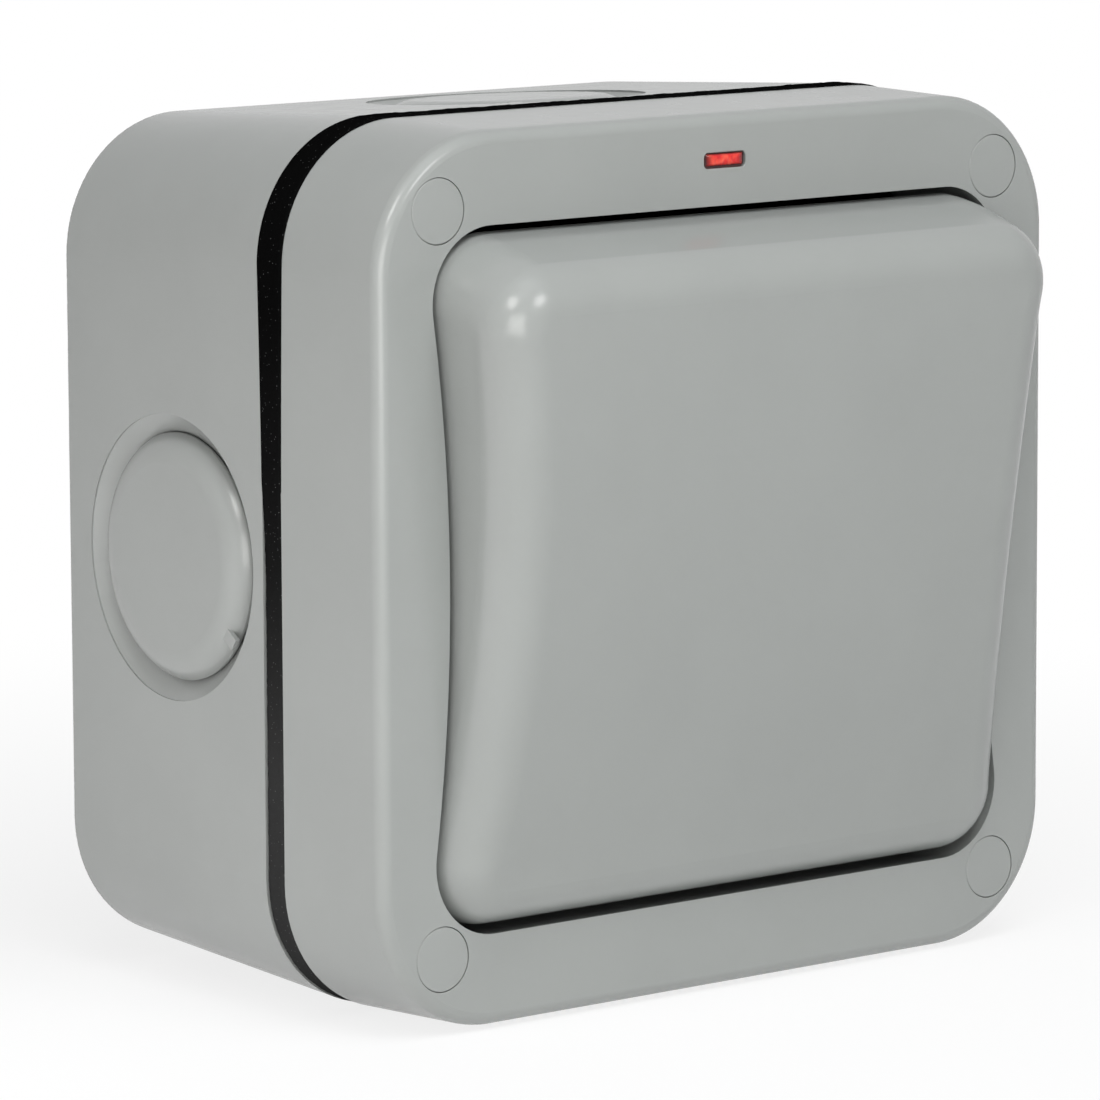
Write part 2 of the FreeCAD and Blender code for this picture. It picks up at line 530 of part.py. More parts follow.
def rocker_seal():
    """Rubber frame clamped between the cover's collar and the support plate."""
    collar = well(-COLLAR_WALL, FACE_Y, PLATE_Y)
    sheet = collar.cut(block(-SEAM_SIDE, SEAM_SIDE, FACE_Y - OVERRUN, ROCKER_SEAL_Y, -SEAM_SIDE, SEAM_SIDE))
    lip_width = ROCKER_SEAL_OPENING_X + 2 * ROCKER_SEAL_LIP
    lip_height = ROCKER_SEAL_OPENING_Z + 2 * ROCKER_SEAL_LIP
    lip = rounded_plate(lip_width, lip_height, PLATE_CORNER, ROCKER_SEAL_Y - ROCKER_SEAL_LIP, PLATE_Y)
    opening = rounded_plate(ROCKER_SEAL_OPENING_X, ROCKER_SEAL_OPENING_Z, PLATE_CORNER - ROCKER_SEAL_LIP,
                            ROCKER_SEAL_Y - 2 * ROCKER_SEAL_LIP, PLATE_Y + OVERRUN)
    cuts = [opening]
    for i, j in CORNERS:
        cuts.append(rod_y(PILLAR_RADIUS + ROCKER_SEAL_PLAY, FACE_Y, COVER_RIM_Y,
                          i * SCREW_OFFSET, j * SCREW_OFFSET))
        cuts.append(rod_y(PLATE_BOSS_RADIUS + ROCKER_SEAL_PLAY, FACE_Y, COVER_RIM_Y,
                          i * PLATE_SCREW_X, j * PLATE_SCREW_Z))
    return joined(sheet, lip).cut(cuts)


def countersunk_screw(head_y, direction, length, x, z):
    """A small countersunk screw along Y, its head flush at head_y."""
    shank = Part.makeCylinder(SMALL_SCREW_RADIUS, length, V(x, head_y, z), Y_AXIS * direction)
    head = Part.makeCone(SMALL_HEAD_RADIUS, SMALL_SCREW_RADIUS, SMALL_HEAD_HEIGHT, V(x, head_y, z),
                         Y_AXIS * direction)
    screw = joined(shank, head)
    slot_y = sorted((head_y, head_y + direction * SMALL_HEAD_HEIGHT / 2))
    slot = block(x - SMALL_HEAD_RADIUS, x + SMALL_HEAD_RADIUS, slot_y[0], slot_y[1],
                 z - SCREW_SLOT / 2, z + SCREW_SLOT / 2)
    return screw.cut(slot)


def countersink(head_y, direction, x, z):
    """The hole that such a screw needs in the plate."""
    cone = Part.makeCone(SMALL_HEAD_RADIUS + THREAD_PLAY, SMALL_SCREW_RADIUS + THREAD_PLAY, SMALL_HEAD_HEIGHT,
                         V(x, head_y, z), Y_AXIS * direction)
    hole = Part.makeCylinder(SMALL_SCREW_RADIUS + THREAD_PLAY, SMALL_SCREW_GRIP, V(x, head_y, z),
                             Y_AXIS * direction)
    return joined(cone, hole)


def support_plate():
    height = COVER_FRONT_SIDE - 2 * WALL - 2 * PLATE_MARGIN
    plate = rounded_plate(PLATE_WIDTH, height, PLATE_CORNER, PLATE_Y, BASE_Y)
    opening_width = DOLLY_WIDTH + 2 * PLATE_OPENING_PLAY
    cuts = [rounded_plate(opening_width, PLATE_OPENING_Z, BASE_CORNER, PLATE_Y - OVERRUN, BASE_Y + OVERRUN)]
    cuts += [countersink(BASE_Y, -1, i * PLATE_SCREW_X, j * PLATE_SCREW_Z) for i, j in CORNERS]
    cuts += [countersink(PLATE_Y, 1, x, 0) for x in (-BASE_SCREW_X, BASE_SCREW_X)]
    return plate.cut(cuts)


def plate_screws():
    return group([countersunk_screw(BASE_Y, -1, SMALL_SCREW_GRIP, i * PLATE_SCREW_X, j * PLATE_SCREW_Z)
                  for i, j in CORNERS])


def base_screws():
    return group([countersunk_screw(PLATE_Y, 1, SMALL_SCREW_GRIP, x, 0)
                  for x in (-BASE_SCREW_X, BASE_SCREW_X)])


def switch_base():
    base = rounded_plate(BASE_WIDTH, BASE_HEIGHT, BASE_CORNER, BASE_Y, BASE_REAR_Y)
    cavity = rounded_plate(CAVITY_WIDTH, CAVITY_HEIGHT, BASE_CORNER, BASE_Y - OVERRUN, CAVITY_REAR_Y)
    barrier = block(-BARRIER / 2, BARRIER / 2, CAVITY_REAR_Y - BARRIER_DEPTH, CAVITY_REAR_Y,
                    -CAVITY_HEIGHT / 2, CAVITY_HEIGHT / 2)
    cuts = [cavity.cut(barrier)]
    pin_reach = CAVITY_WIDTH / 2 + DOLLY_PIN_BITE
    cuts.append(rod_x(DOLLY_PIN_RADIUS + DOLLY_PIN_PLAY, -pin_reach, pin_reach, DOLLY_Y, 0))
    half_w = TERMINAL_WIDTH / 2 + TERMINAL_PLAY
    half_h = TERMINAL_HEIGHT / 2 + TERMINAL_PLAY
    for i, j in CORNERS:
        x = i * TERMINAL_X
        z = j * TERMINAL_Z
        cuts.append(block(x - half_w, x + half_w, TERMINAL_FRONT_Y, BASE_REAR_Y + OVERRUN,
                          z - half_h, z + half_h))
        near, far = sorted((j * TERMINAL_Z, j * BASE_HEIGHT))
        cuts.append(rod_z(WIRE_RADIUS, near, far, x, wire_y()))
        cuts.append(strip(i, j, STRIP_PLAY))
    for x in (-BASE_SCREW_X, BASE_SCREW_X):
        cuts.append(rod_y(SMALL_SCREW_RADIUS + THREAD_PLAY, BASE_Y - OVERRUN,
                          PLATE_Y + SMALL_SCREW_GRIP + SCREW_TIP_ROOM, x, 0))
    return base.cut(cuts)


def wire_y():
    """The wire holes' height in the terminals, just in front of the screws' ends."""
    return TERMINAL_FRONT_Y + WIRE_RADIUS + STRIP_THICKNESS


def strip(i, j, play):
    """A terminal's flat strip through the base wall into the cavity, to the pole's contact or saddle."""
    x0, x1 = sorted((i * TERMINAL_X, i * (POLE_OFFSET - BLADE_WIDTH / 2)))
    if j < 0:
        z0 = -max(TERMINAL_Z, CONTACT_OFFSET + STRIP_WIDTH / 2)
        z1 = -CONTACT_OFFSET + STRIP_WIDTH / 2
    else:
        z0 = 0
        z1 = TERMINAL_Z
    return block(x0 - play, x1 + play, STRIP_Y - play, STRIP_Y + STRIP_THICKNESS + play, z0 - play, z1 + play)


def terminal(i, j):
    """A brass terminal: block with wire hole and screw hole, strip, and contact or saddle."""
    x = i * TERMINAL_X
    z = j * TERMINAL_Z
    body = block(x - TERMINAL_WIDTH / 2, x + TERMINAL_WIDTH / 2, TERMINAL_FRONT_Y, TERMINAL_REAR_Y,
                 z - TERMINAL_HEIGHT / 2, z + TERMINAL_HEIGHT / 2)
    pole_x = i * POLE_OFFSET
    added = [strip(i, j, 0)]
    if j < 0:
        top_y = STRIP_Y - fixed_contact_height()
        added.append(rod_y(CONTACT_RADIUS, top_y, STRIP_Y + STRIP_THICKNESS / 2, pole_x, -CONTACT_OFFSET))
    else:
        saddle = block(pole_x - BLADE_WIDTH / 2, pole_x + BLADE_WIDTH / 2, SADDLE_Y,
                       STRIP_Y + STRIP_THICKNESS, -SADDLE_LENGTH / 2, SADDLE_LENGTH / 2)
        trough = rod_x(BLADE_PIVOT_RADIUS + BLADE_PIVOT_PLAY, pole_x - BLADE_WIDTH, pole_x + BLADE_WIDTH,
                       BLADE_AXIS_Y, 0)
        added.append(saddle.cut(trough))
    body = joined(body, *added)
    cuts = [rod_z(WIRE_RADIUS, z - TERMINAL_HEIGHT, z + TERMINAL_HEIGHT, x, wire_y())]
    cuts.append(rod_y(TERMINAL_SCREW_RADIUS + THREAD_PLAY, wire_y(), TERMINAL_REAR_Y + OVERRUN, x, z))
    return body.cut(cuts)


def fixed_contact_height():
    """How far the fixed contact stands off its strip, to meet the closed blade."""
    drop = CONTACT_OFFSET * math.sin(math.radians(BLADE_TILT))
    closed_y = BLADE_Y + BLADE_THICKNESS + CONTACT_HEIGHT + drop
    return STRIP_Y - closed_y - CONTACT_GAP


def terminal_screws():
    screws = []
    for i, j in CORNERS:
        x = i * TERMINAL_X
        z = j * TERMINAL_Z
        top = TERMINAL_REAR_Y + TERMINAL_SCREW_HEAD
        screw = rod_y(TERMINAL_SCREW_RADIUS, wire_y(), top, x, z)
        slot = block(x - TERMINAL_SCREW_RADIUS, x + TERMINAL_SCREW_RADIUS, top - SCREW_SLOT, top,
                     z - SCREW_SLOT / 2, z + SCREW_SLOT / 2)
        screws.append(screw.cut(slot))
    return group(screws)


def blade(i):
    """A seesaw contact blade with a round pivot under it and a contact at its lower end."""
    x = i * POLE_OFFSET
    rear_y = BLADE_Y + BLADE_THICKNESS
    leaf = block(x - BLADE_WIDTH / 2, x + BLADE_WIDTH / 2, BLADE_Y, rear_y,
                 -BLADE_LENGTH / 2, BLADE_LENGTH / 2)
    pivot = rod_x(BLADE_PIVOT_RADIUS, x - BLADE_WIDTH / 2, x + BLADE_WIDTH / 2, BLADE_AXIS_Y, 0)
    in_front = block(x - BLADE_WIDTH, x + BLADE_WIDTH, BLADE_Y - BLADE_PIVOT_RADIUS, BLADE_Y,
                     -BLADE_LENGTH, BLADE_LENGTH)
    contact = rod_y(CONTACT_RADIUS, BLADE_Y, rear_y + CONTACT_HEIGHT, x, -CONTACT_OFFSET)
    solid = joined(leaf, pivot.cut(in_front), contact)
    solid.rotate(V(0, BLADE_AXIS_Y, 0), X_AXIS, BLADE_TILT)
    return solid


def with_dolly(solid):
    """Turn a piece that rides on the dolly to its place at rest."""
    solid.rotate(V(0, DOLLY_Y, 0), X_AXIS, -DOLLY_TILT)
    return solid


def dolly():
    """The inner rocker: hub on a pin, a lever in the rocker's fork, and a plunger socket for each pole."""
    hub = rod_x(DOLLY_HUB_RADIUS, -DOLLY_WIDTH / 2, DOLLY_WIDTH / 2, DOLLY_Y, 0)
    tip_y = DOLLY_Y - LEVER_ARM
    lever = block(-LEVER_WIDTH / 2, LEVER_WIDTH / 2, tip_y, DOLLY_Y, -LEVER_NECK / 2, LEVER_NECK / 2)
    tip = rod_x(LEVER_RADIUS, -LEVER_WIDTH / 2, LEVER_WIDTH / 2, tip_y, 0)
    poles = (-POLE_OFFSET, POLE_OFFSET)
    sockets = [rod_y(SOCKET_RADIUS, DOLLY_Y, DOLLY_Y + SOCKET_REACH, x, 0) for x in poles]
    body = joined(hub, lever, tip, *sockets)
    cuts = [rod_y(PLUNGER_RADIUS + PLUNGER_PLAY, DOLLY_Y + SOCKET_FLOOR, DOLLY_Y + 2 * SOCKET_REACH, x, 0)
            for x in poles]
    cuts.append(rod_x(DOLLY_PIN_RADIUS + DOLLY_PIN_PLAY, -DOLLY_WIDTH, DOLLY_WIDTH, DOLLY_Y, 0))
    return with_dolly(body.cut(cuts))


def dolly_pin():
    reach = CAVITY_WIDTH / 2 + DOLLY_PIN_BITE - DOLLY_PIN_PLAY
    return rod_x(DOLLY_PIN_RADIUS, -reach, reach, DOLLY_Y, 0)


def plungers():
    solids = []
    for x in (-POLE_OFFSET, POLE_OFFSET):
        tip_y = DOLLY_Y + PLUNGER_TIP
        ball_y = tip_y - PLUNGER_RADIUS
        stem = rod_y(PLUNGER_RADIUS, tip_y - PLUNGER_LENGTH, ball_y, x, 0)
        ball = Part.makeSphere(PLUNGER_RADIUS, V(x, ball_y, 0))
        solids.append(with_dolly(joined(stem, ball)))
    return group(solids)


def plunger_springs():
    solids = []
    start_y = DOLLY_Y + SOCKET_FLOOR + SPRING_WIRE
    end_y = DOLLY_Y + PLUNGER_TIP - PLUNGER_LENGTH - SPRING_WIRE
    coil_radius = PLUNGER_RADIUS - SPRING_WIRE
    pitch = (end_y - start_y) / SPRING_TURNS
    for x in (-POLE_OFFSET, POLE_OFFSET):
        path = Part.Wire(Part.makeHelix(pitch, end_y - start_y, coil_radius))
        section = Part.Wire(Part.makeCircle(SPRING_WIRE, V(coil_radius, 0, 0), Y_AXIS))
        coil = path.makePipeShell([section], True, True)
        coil.rotate(V(0, 0, 0), X_AXIS, -90)
        coil.translate(V(x, start_y, 0))
        solids.append(with_dolly(coil))
    return group(solids)


def cover_screws():
    screws = []
    for i, j in CORNERS:
        x = i * SCREW_OFFSET
        z = j * SCREW_OFFSET
        head = rod_y(COVER_SCREW_HEAD_RADIUS, SCREW_HEAD_Y, SCREW_SEAL_Y, x, z)
        shank = rod_y(COVER_SCREW_RADIUS, SCREW_HEAD_Y, BOX_RIM_Y + COVER_SCREW_GRIP, x, z)
        slot = block(x - CAP_RADIUS, x + CAP_RADIUS, SCREW_HEAD_Y, SCREW_HEAD_Y + COVER_SCREW_HEAD_HEIGHT / 2,
                     z - COVER_SCREW_SLOT / 2, z + COVER_SCREW_SLOT / 2)
        screws.append(joined(head, shank).cut(slot))
    return group(screws)


def screw_seals():
    seals = []
    for i, j in CORNERS:
        x = i * SCREW_OFFSET
        z = j * SCREW_OFFSET
        ring = rod_y(COVER_SCREW_HEAD_RADIUS, SCREW_SEAL_Y, SCREW_SEAT_Y, x, z)
        seals.append(ring.cut(rod_y(COVER_SCREW_RADIUS + THREAD_PLAY, SCREW_SEAL_Y, SCREW_SEAT_Y, x, z)))
    return group(seals)


def screw_caps():
    caps = []
    for i, j in CORNERS:
        cap = rod_y(CAP_RADIUS - CAP_PLAY, FACE_Y, CAP_SEAT_Y, i * SCREW_OFFSET, j * SCREW_OFFSET)
        caps.append(cap.makeFillet(CAP_EDGE_RADIUS, edges_at_y(cap, FACE_Y)))
    return group(caps)


def plug_flange(flange_x, face_x):
    """Round flange whose face rolls down to its edge in an arc."""
    height = face_x - flange_x - PLUG_EDGE_LAND
    bend = (PLUG_ROLL ** 2 + height ** 2) / (2 * height)
    half = math.asin(PLUG_ROLL / bend) / 2
    flat = PLUG_FLANGE_RADIUS - PLUG_ROLL

    def at(x, radius):
        return V(x, ENTRY_Y + radius, 0)

    corners = [at(face_x, flat), at(face_x, 0), at(flange_x, 0), at(flange_x, PLUG_FLANGE_RADIUS),
               at(face_x - height, PLUG_FLANGE_RADIUS)]
    middle = at(face_x - bend * (1 - math.cos(half)), flat + bend * math.sin(half))
    edges = [Part.makeLine(a, b) for a, b in zip(corners, corners[1:])]
    edges.append(Part.Arc(corners[-1], middle, corners[0]).toShape())
    return Part.Face(Part.Wire(edges)).revolve(V(0, ENTRY_Y, 0), X_AXIS, 360)


def entry_plug(turn, proud):
    """A snap-in blanking plug, made on the right-hand side and turned to its wall."""
    flange_x = ENTRY_SEAT + PLUG_SEAL_THICKNESS
    face_x = ENTRY_FACE + proud
    flange = plug_flange(flange_x, face_x)
    snap_x = ENTRY_INNER - PLUG_SNAP_GAP
    stem_end = snap_x - PLUG_SNAP_LENGTH
    stem_radius = ENTRY_RADIUS - PLUG_PLAY
    stem = rod_x(stem_radius, stem_end, flange_x, ENTRY_Y, 0)
    snap = rod_x(ENTRY_RADIUS + PLUG_SNAP, stem_end, snap_x, ENTRY_Y, 0)
    nib_tip = ENTRY_Y - PLUG_FLANGE_RADIUS - PLUG_NIB_LENGTH
    nib_x = ENTRY_FACE - PLUG_NIB_SUNK
    nib = block(nib_x - PLUG_NIB_THICKNESS, nib_x, nib_tip, ENTRY_Y,
                -PLUG_NIB_WIDTH / 2, PLUG_NIB_WIDTH / 2)
    nib.rotate(V(0, ENTRY_Y, 0), X_AXIS, PLUG_NIB_ANGLE)
    bore = rod_x(stem_radius - PLUG_WALL, stem_end - OVERRUN, flange_x, ENTRY_Y, 0)
    return to_entry(joined(flange, stem, snap, nib).cut(bore), turn)


def plug_seals():
    seals = []
    for turn in range(4):
        x1 = ENTRY_SEAT + PLUG_SEAL_THICKNESS
        ring = rod_x(PLUG_FLANGE_RADIUS - PLUG_SEAL_RIM, ENTRY_SEAT, x1, ENTRY_Y, 0)
        ring = ring.cut(rod_x(ENTRY_RADIUS, ENTRY_SEAT, x1, ENTRY_Y, 0))
        seals.append(to_entry(ring, turn))
    return group(seals)


def earth_terminal():
    top_y = -BOX_FLOOR - EARTH_LENGTH
    body = block(-EARTH_WIDTH / 2, EARTH_WIDTH / 2, top_y, -BOX_FLOOR, EARTH_Z - EARTH_HEIGHT / 2,
                 EARTH_Z + EARTH_HEIGHT / 2)
    wire = rod_x(EARTH_WIRE_RADIUS, -EARTH_WIDTH, EARTH_WIDTH, -BOX_FLOOR - EARTH_LENGTH / 2, EARTH_Z)
    screw = rod_y(EARTH_SCREW_RADIUS + THREAD_PLAY, top_y - OVERRUN, -BOX_FLOOR - EARTH_LENGTH / 2,
                  0, EARTH_Z)
    return body.cut([wire, screw])


def earth_screw():
    top_y = -BOX_FLOOR - EARTH_LENGTH - TERMINAL_SCREW_HEAD
    screw = rod_y(EARTH_SCREW_RADIUS, top_y, -BOX_FLOOR - EARTH_LENGTH / 2, 0, EARTH_Z)
    slot = block(-EARTH_SCREW_RADIUS, EARTH_SCREW_RADIUS, top_y, top_y + SCREW_SLOT, EARTH_Z - SCREW_SLOT / 2,
                 EARTH_Z + SCREW_SLOT / 2)
    return screw.cut(slot)


def all_parts():
    parts = {
        "back_box": back_box(), "seam_gasket": seam_gasket(), "front_cover": front_cover(),
        "rocker": rocker(), "rocker_seal": rocker_seal(), "support_plate": support_plate(),
        "plate_screws": plate_screws(), "switch_base": switch_base(), "base_screws": base_screws(),
        "dolly": dolly(), "dolly_pin": dolly_pin(), "plungers": plungers(),
        "plunger_springs": plunger_springs(), "line_blade": blade(-1), "neutral_blade": blade(1),
        "terminal_screws": terminal_screws(), "indicator_lens": indicator_lens(), "neon_lamp": neon_lamp(),
        "cover_screws": cover_screws(), "screw_seals": screw_seals(), "screw_caps": screw_caps(),
        "plug_seals": plug_seals(), "earth_terminal": earth_terminal(), "earth_screw": earth_screw(),
    }
    for i, pole in ((-1, "line"), (1, "neutral")):
        for j, way in ((1, "in"), (-1, "out")):
            parts[f"{pole}_{way}_terminal"] = terminal(i, j)
    for turn, side in enumerate(("right", "bottom", "left", "top")):
        proud = PLUG_PROUD_SIDES if side in ("left", "right") else PLUG_PROUD_ENDS
        parts[f"entry_plug_{side}"] = entry_plug(turn, proud)
    return parts


os.makedirs("parts", exist_ok=True)
for name, shape in all_parts().items():
    if not shape.isValid():
        raise ValueError(f"{name} is not a valid shape")
    shape.exportStep(f"parts/{name}.step")
    print(name, len(shape.Solids), "solids,", round(shape.Volume, 1), "cubic mm")
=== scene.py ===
import json
import math
import bmesh
import bpy
from mathutils import Matrix, Vector, noise


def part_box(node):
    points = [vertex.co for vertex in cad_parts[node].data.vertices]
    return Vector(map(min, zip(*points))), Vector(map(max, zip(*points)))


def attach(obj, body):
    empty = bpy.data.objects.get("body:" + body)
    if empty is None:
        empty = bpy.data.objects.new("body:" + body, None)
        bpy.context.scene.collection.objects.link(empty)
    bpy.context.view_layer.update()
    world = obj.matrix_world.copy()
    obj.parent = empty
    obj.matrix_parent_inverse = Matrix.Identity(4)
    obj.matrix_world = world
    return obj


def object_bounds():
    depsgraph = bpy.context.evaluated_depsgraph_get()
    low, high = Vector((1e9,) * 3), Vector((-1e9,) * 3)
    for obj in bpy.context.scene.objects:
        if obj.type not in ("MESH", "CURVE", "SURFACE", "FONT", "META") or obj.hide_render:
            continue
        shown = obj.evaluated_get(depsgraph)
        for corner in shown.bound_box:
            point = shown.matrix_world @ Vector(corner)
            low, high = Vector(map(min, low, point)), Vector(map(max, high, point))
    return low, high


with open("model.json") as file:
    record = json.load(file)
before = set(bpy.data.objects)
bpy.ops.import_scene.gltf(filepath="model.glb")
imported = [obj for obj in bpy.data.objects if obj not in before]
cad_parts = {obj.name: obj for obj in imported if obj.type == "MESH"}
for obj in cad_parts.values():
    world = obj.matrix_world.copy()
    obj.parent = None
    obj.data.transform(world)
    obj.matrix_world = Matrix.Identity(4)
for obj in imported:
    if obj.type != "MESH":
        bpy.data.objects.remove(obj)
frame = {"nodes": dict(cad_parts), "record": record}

cad_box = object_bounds()
nodes = frame["nodes"]
MM = 0.001

# Camera, fitted to the photograph, in metres
CAMERA_PLACE = Vector((-0.46677, -0.58614, 0.10274))
CAMERA_LOOK = Vector((0.63305, 0.76022, -0.14598))
CAMERA_UP = Vector((0.09679, 0.10937, 0.98928))
CAMERA_SENSOR = 36.0
CAMERA_LENS = 225.58
CAMERA_SHIFT = (0.00465, 0.01684)

# Floor and lights
FLOOR_DROP = 0.1 * MM        # under the part's lowest point
FLOOR_SIZE = 6.0
FLOOR_GREY = 0.86
FLOOR_ROUGHNESS = 0.9
FLOOR_SHOWN_WHITE = (0.80, 1.0)  # share of plain white that is seen on the floor, near the part and far off
FLOOR_FADE = (0.05, 0.22)    # distances from the part between which that share rises
WORLD_FILL = 0.015
REFLECTED_WHITE = 0.75       # share of the white that the part mirrors
LIGHTS = {                   # direction from the part, distance, size, power, shape, colour, mirrored or not
    "top": ((-0.15, -0.45, 0.88), 0.55, 0.40, 2.7, "SQUARE", (0.98, 1.0, 1.01), False),
    "front": ((-0.33, -0.95, -0.10), 0.33, 0.14, 0.13, "SQUARE", (0.97, 1.0, 1.0), False),
    "key": ((-0.62, -0.78, 0.05), 0.50, 0.30, 0.75, "SQUARE", (1.0, 1.0, 0.97), True),
    "left": ((-0.92, -0.30, 0.0), 0.30, 0.12, 0.10, "SQUARE", (1.03, 1.0, 1.0), False),
    "bounce": ((-0.145, 0.0, -0.040), 0.15, 0.08, 0.066, "SQUARE", (1.02, 1.0, 1.01), False),
    "rear": ((0.25, 0.95, 0.12), 0.60, 0.40, 1.6, "SQUARE", (1.0, 1.0, 1.0), False),
    "lamp_left": ((-0.62, -0.44, 0.63), 0.62, 0.20, 0.45, "DISK", (1.0, 1.0, 0.98), True),
    "lamp_front": ((0.10, -0.85, 0.52), 0.62, 0.20, 0.45, "DISK", (1.0, 1.0, 1.0), True),
}

# Materials, with linear grey levels
NOISE_MIDDLE = (0.3, 0.7)    # range that most of a noise lies in
PLASTIC_TINT = (0.965, 1.0, 0.968)
PLASTIC_TONES = (0.298, 0.310)
PLASTIC_ROUGHNESS = (0.20, 0.235)  # all below 0.27, because the denoiser leaves specks where it crosses that
PLASTIC_SPECULAR = 0.85
# painted shade: the rubber's dark tone, darker towards the gasket's upper end and greyer towards its lower end
RUBBER_TONE_WITH_PAINTED_SHADE = ((0.17, 0.031), (0.28, 0.031), (0.40, 0.018), (0.51, 0.009), (0.63, 0.0055), (0.80, 0.003))  # by height
RUBBER_FLECKS = ((0.0, 0.25), (0.07, 0.05), (0.15, 0.0))  # by distance from a fleck's middle
RUBBER_ROUGHNESS = (0.6, 0.85)
LENS_TONES = ((0.30, (0.38, 0.004, 0.007)), (0.48, (0.56, 0.014, 0.013)), (0.66, (0.74, 0.085, 0.045)))
# painted shade that darkens the lens towards its edges, where the surround shades it
LENS_PAINTED_RIM_SHADE = ((0.64, 1.0), (0.83, 0.5), (0.97, 0.05))  # share of the colour, from the window's middle to its edges
LENS_ROUGHNESS = (0.05, 0.14)
# painted glow: the lens's own emission stands in for the lamp's light shining through it
LENS_GLOW = 0.2
LAMP_TONES = ((1.0, 0.62, 0.42), (1.0, 0.78, 0.62))
LAMP_ROUGHNESS = (0.03, 0.08)
LAMP_CLEAR = 0.8
LAMP_GLOW = 0.6
LAMP_GLOW_COLOUR = (1.0, 0.25, 0.06, 1.0)

# Gasket edge, in millimetres
SEAL_BULGE = 0.34
SEAL_SQUEEZE = 0.2           # further out in the upper half, where it is pressed most
SEAL_LIP = 0.5               # spread over the rims at the upper corners
SEAL_LIP_OUT = 0.43          # lips' edges, just outside the rims
SEAL_LIP_MIDDLE = 0.4        # share of the lip that is left at the middle of the upper side
SEAL_LIP_POWER = 1.7         # how late the lip grows towards the top
SEAL_REACH = 0.35            # share of the side over which the pressing grows
SEAL_EARLY = 0.3             # pressing at which the bulge is full
SEAL_SQUARENESS = 8          # power of the curve across the edge
SEAL_UNEVEN = 0.07
SEAL_PITS = ((1.7, 1.0), (0.35, 0.6))  # pits per millimetre, and share of the unevenness
SEAL_BITE = 0.6
SEAL_STEP = 0.45
SEAL_ROWS = 11
SEAL_CORNER = 14.1

# Indicator's lens, in millimetres
LENS_HALF_WIDTH = 2.6
LENS_HALF_HEIGHT = 0.64
LENS_X = 0.04
LENS_Z = 40.85
LENS_BULGE = 0.3
LENS_CURVES = (6, 4)         # powers of the pillow's curves, across and up
LENS_SETBACK = 0.15          # of the lens's face behind the cover's
LENS_FLUTES = 0.03
LENS_FLUTE_COUNT = 9
LENS_CORNER = 0.06           # share by which the corners draw in
LENS_GRID = (54, 20)

# Moulded lip round the lens, in millimetres: middle, width, height and corner
LIP_OUTSIDE = (0.0, 40.85, 5.92, 2.42, 0.86)  # just over the cover's opening
LIP_WINDOW = (0.07, 40.78, 5.62, 1.62, 0.5)   # the window that it leaves
LIP_PROUD = 0.01
LIP_DEPTH = 0.13
LIP_ROLL = 0.14
LIP_STEPS = 5
LIP_CORNER_STEPS = 8

CORNERS = ((1, 1), (-1, 1), (-1, -1), (1, -1))


def material(name):
    """A new node material, its tree and its main shader."""
    made = bpy.data.materials.new(name)
    made.use_nodes = True
    tree = made.node_tree
    return made, tree, tree.nodes["Principled BSDF"]


def add(tree, kind, **values):
    """A node with its settings and input values."""
    node = tree.nodes.new(kind)
    for key, value in values.items():
        if key in node.inputs:
            node.inputs[key].default_value = value
        else:
            setattr(node, key, value)
    return node


def place(tree):
    """Object coordinates, which are metres in the part's frame."""
    return tree.nodes.new("ShaderNodeTexCoord").outputs["Object"]


def grain(tree, size_mm, detail=3.0):
    """Noise whose features are about this many millimetres across."""
    node = add(tree, "ShaderNodeTexNoise", Scale=1 / (size_mm * MM), Detail=detail)
    tree.links.new(place(tree), node.inputs["Vector"])
    return node.outputs["Fac"]


def cells(tree, size_mm):
    """Distance to the nearest of many random points this far apart."""
    node = add(tree, "ShaderNodeTexVoronoi", Scale=1 / (size_mm * MM))
    tree.links.new(place(tree), node.inputs["Vector"])
    return node.outputs["Distance"]


def ramp(tree, source, stops):
    """A colour ramp from (position, colour) stops."""
    node = tree.nodes.new("ShaderNodeValToRGB")
    marks = node.color_ramp.elements
    while len(marks) < len(stops):
        marks.new(1.0)
    for mark, (where, colour) in zip(marks, stops):
        mark.position = where
        mark.color = (*colour, 1.0)
    tree.links.new(source, node.inputs["Fac"])
    return node.outputs["Color"]


def mottle(tree, size_mm, dark, light):
    """A colour that drifts between two, in patches of this size."""
    return ramp(tree, grain(tree, size_mm), list(zip(NOISE_MIDDLE, (dark, light))))


def stretch(tree, source, start, end):
    """The source stretched from one range to another, and held within it."""
    node = add(tree, "ShaderNodeMapRange", clamp=True)
    node.inputs["From Min"].default_value, node.inputs["From Max"].default_value = start
    node.inputs["To Min"].default_value, node.inputs["To Max"].default_value = end
    tree.links.new(source, node.inputs["Value"])
    return node.outputs["Result"]


def roughen(tree, shader, size_mm, limits):
    """Roughness that drifts between its limits, in patches of this size."""
    tree.links.new(stretch(tree, grain(tree, size_mm), NOISE_MIDDLE, limits), shader.inputs["Roughness"])


def bump(tree, source, height_mm, under=None):
    """A bump of this height, over another one if given."""
    node = add(tree, "ShaderNodeBump", Strength=1.0, Distance=height_mm * MM)
    tree.links.new(source, node.inputs["Height"])
    if under is not None:
        tree.links.new(under, node.inputs["Normal"])
    return node.outputs["Normal"]


def mixed(tree, way, first, second):
    """Two colours, added or multiplied."""
    node = add(tree, "ShaderNodeMix", data_type="RGBA", blend_type=way)
    node.inputs["Factor"].default_value = 1.0
    tree.links.new(first, node.inputs["A"])
    tree.links.new(second, node.inputs["B"])
    return node.outputs["Result"]


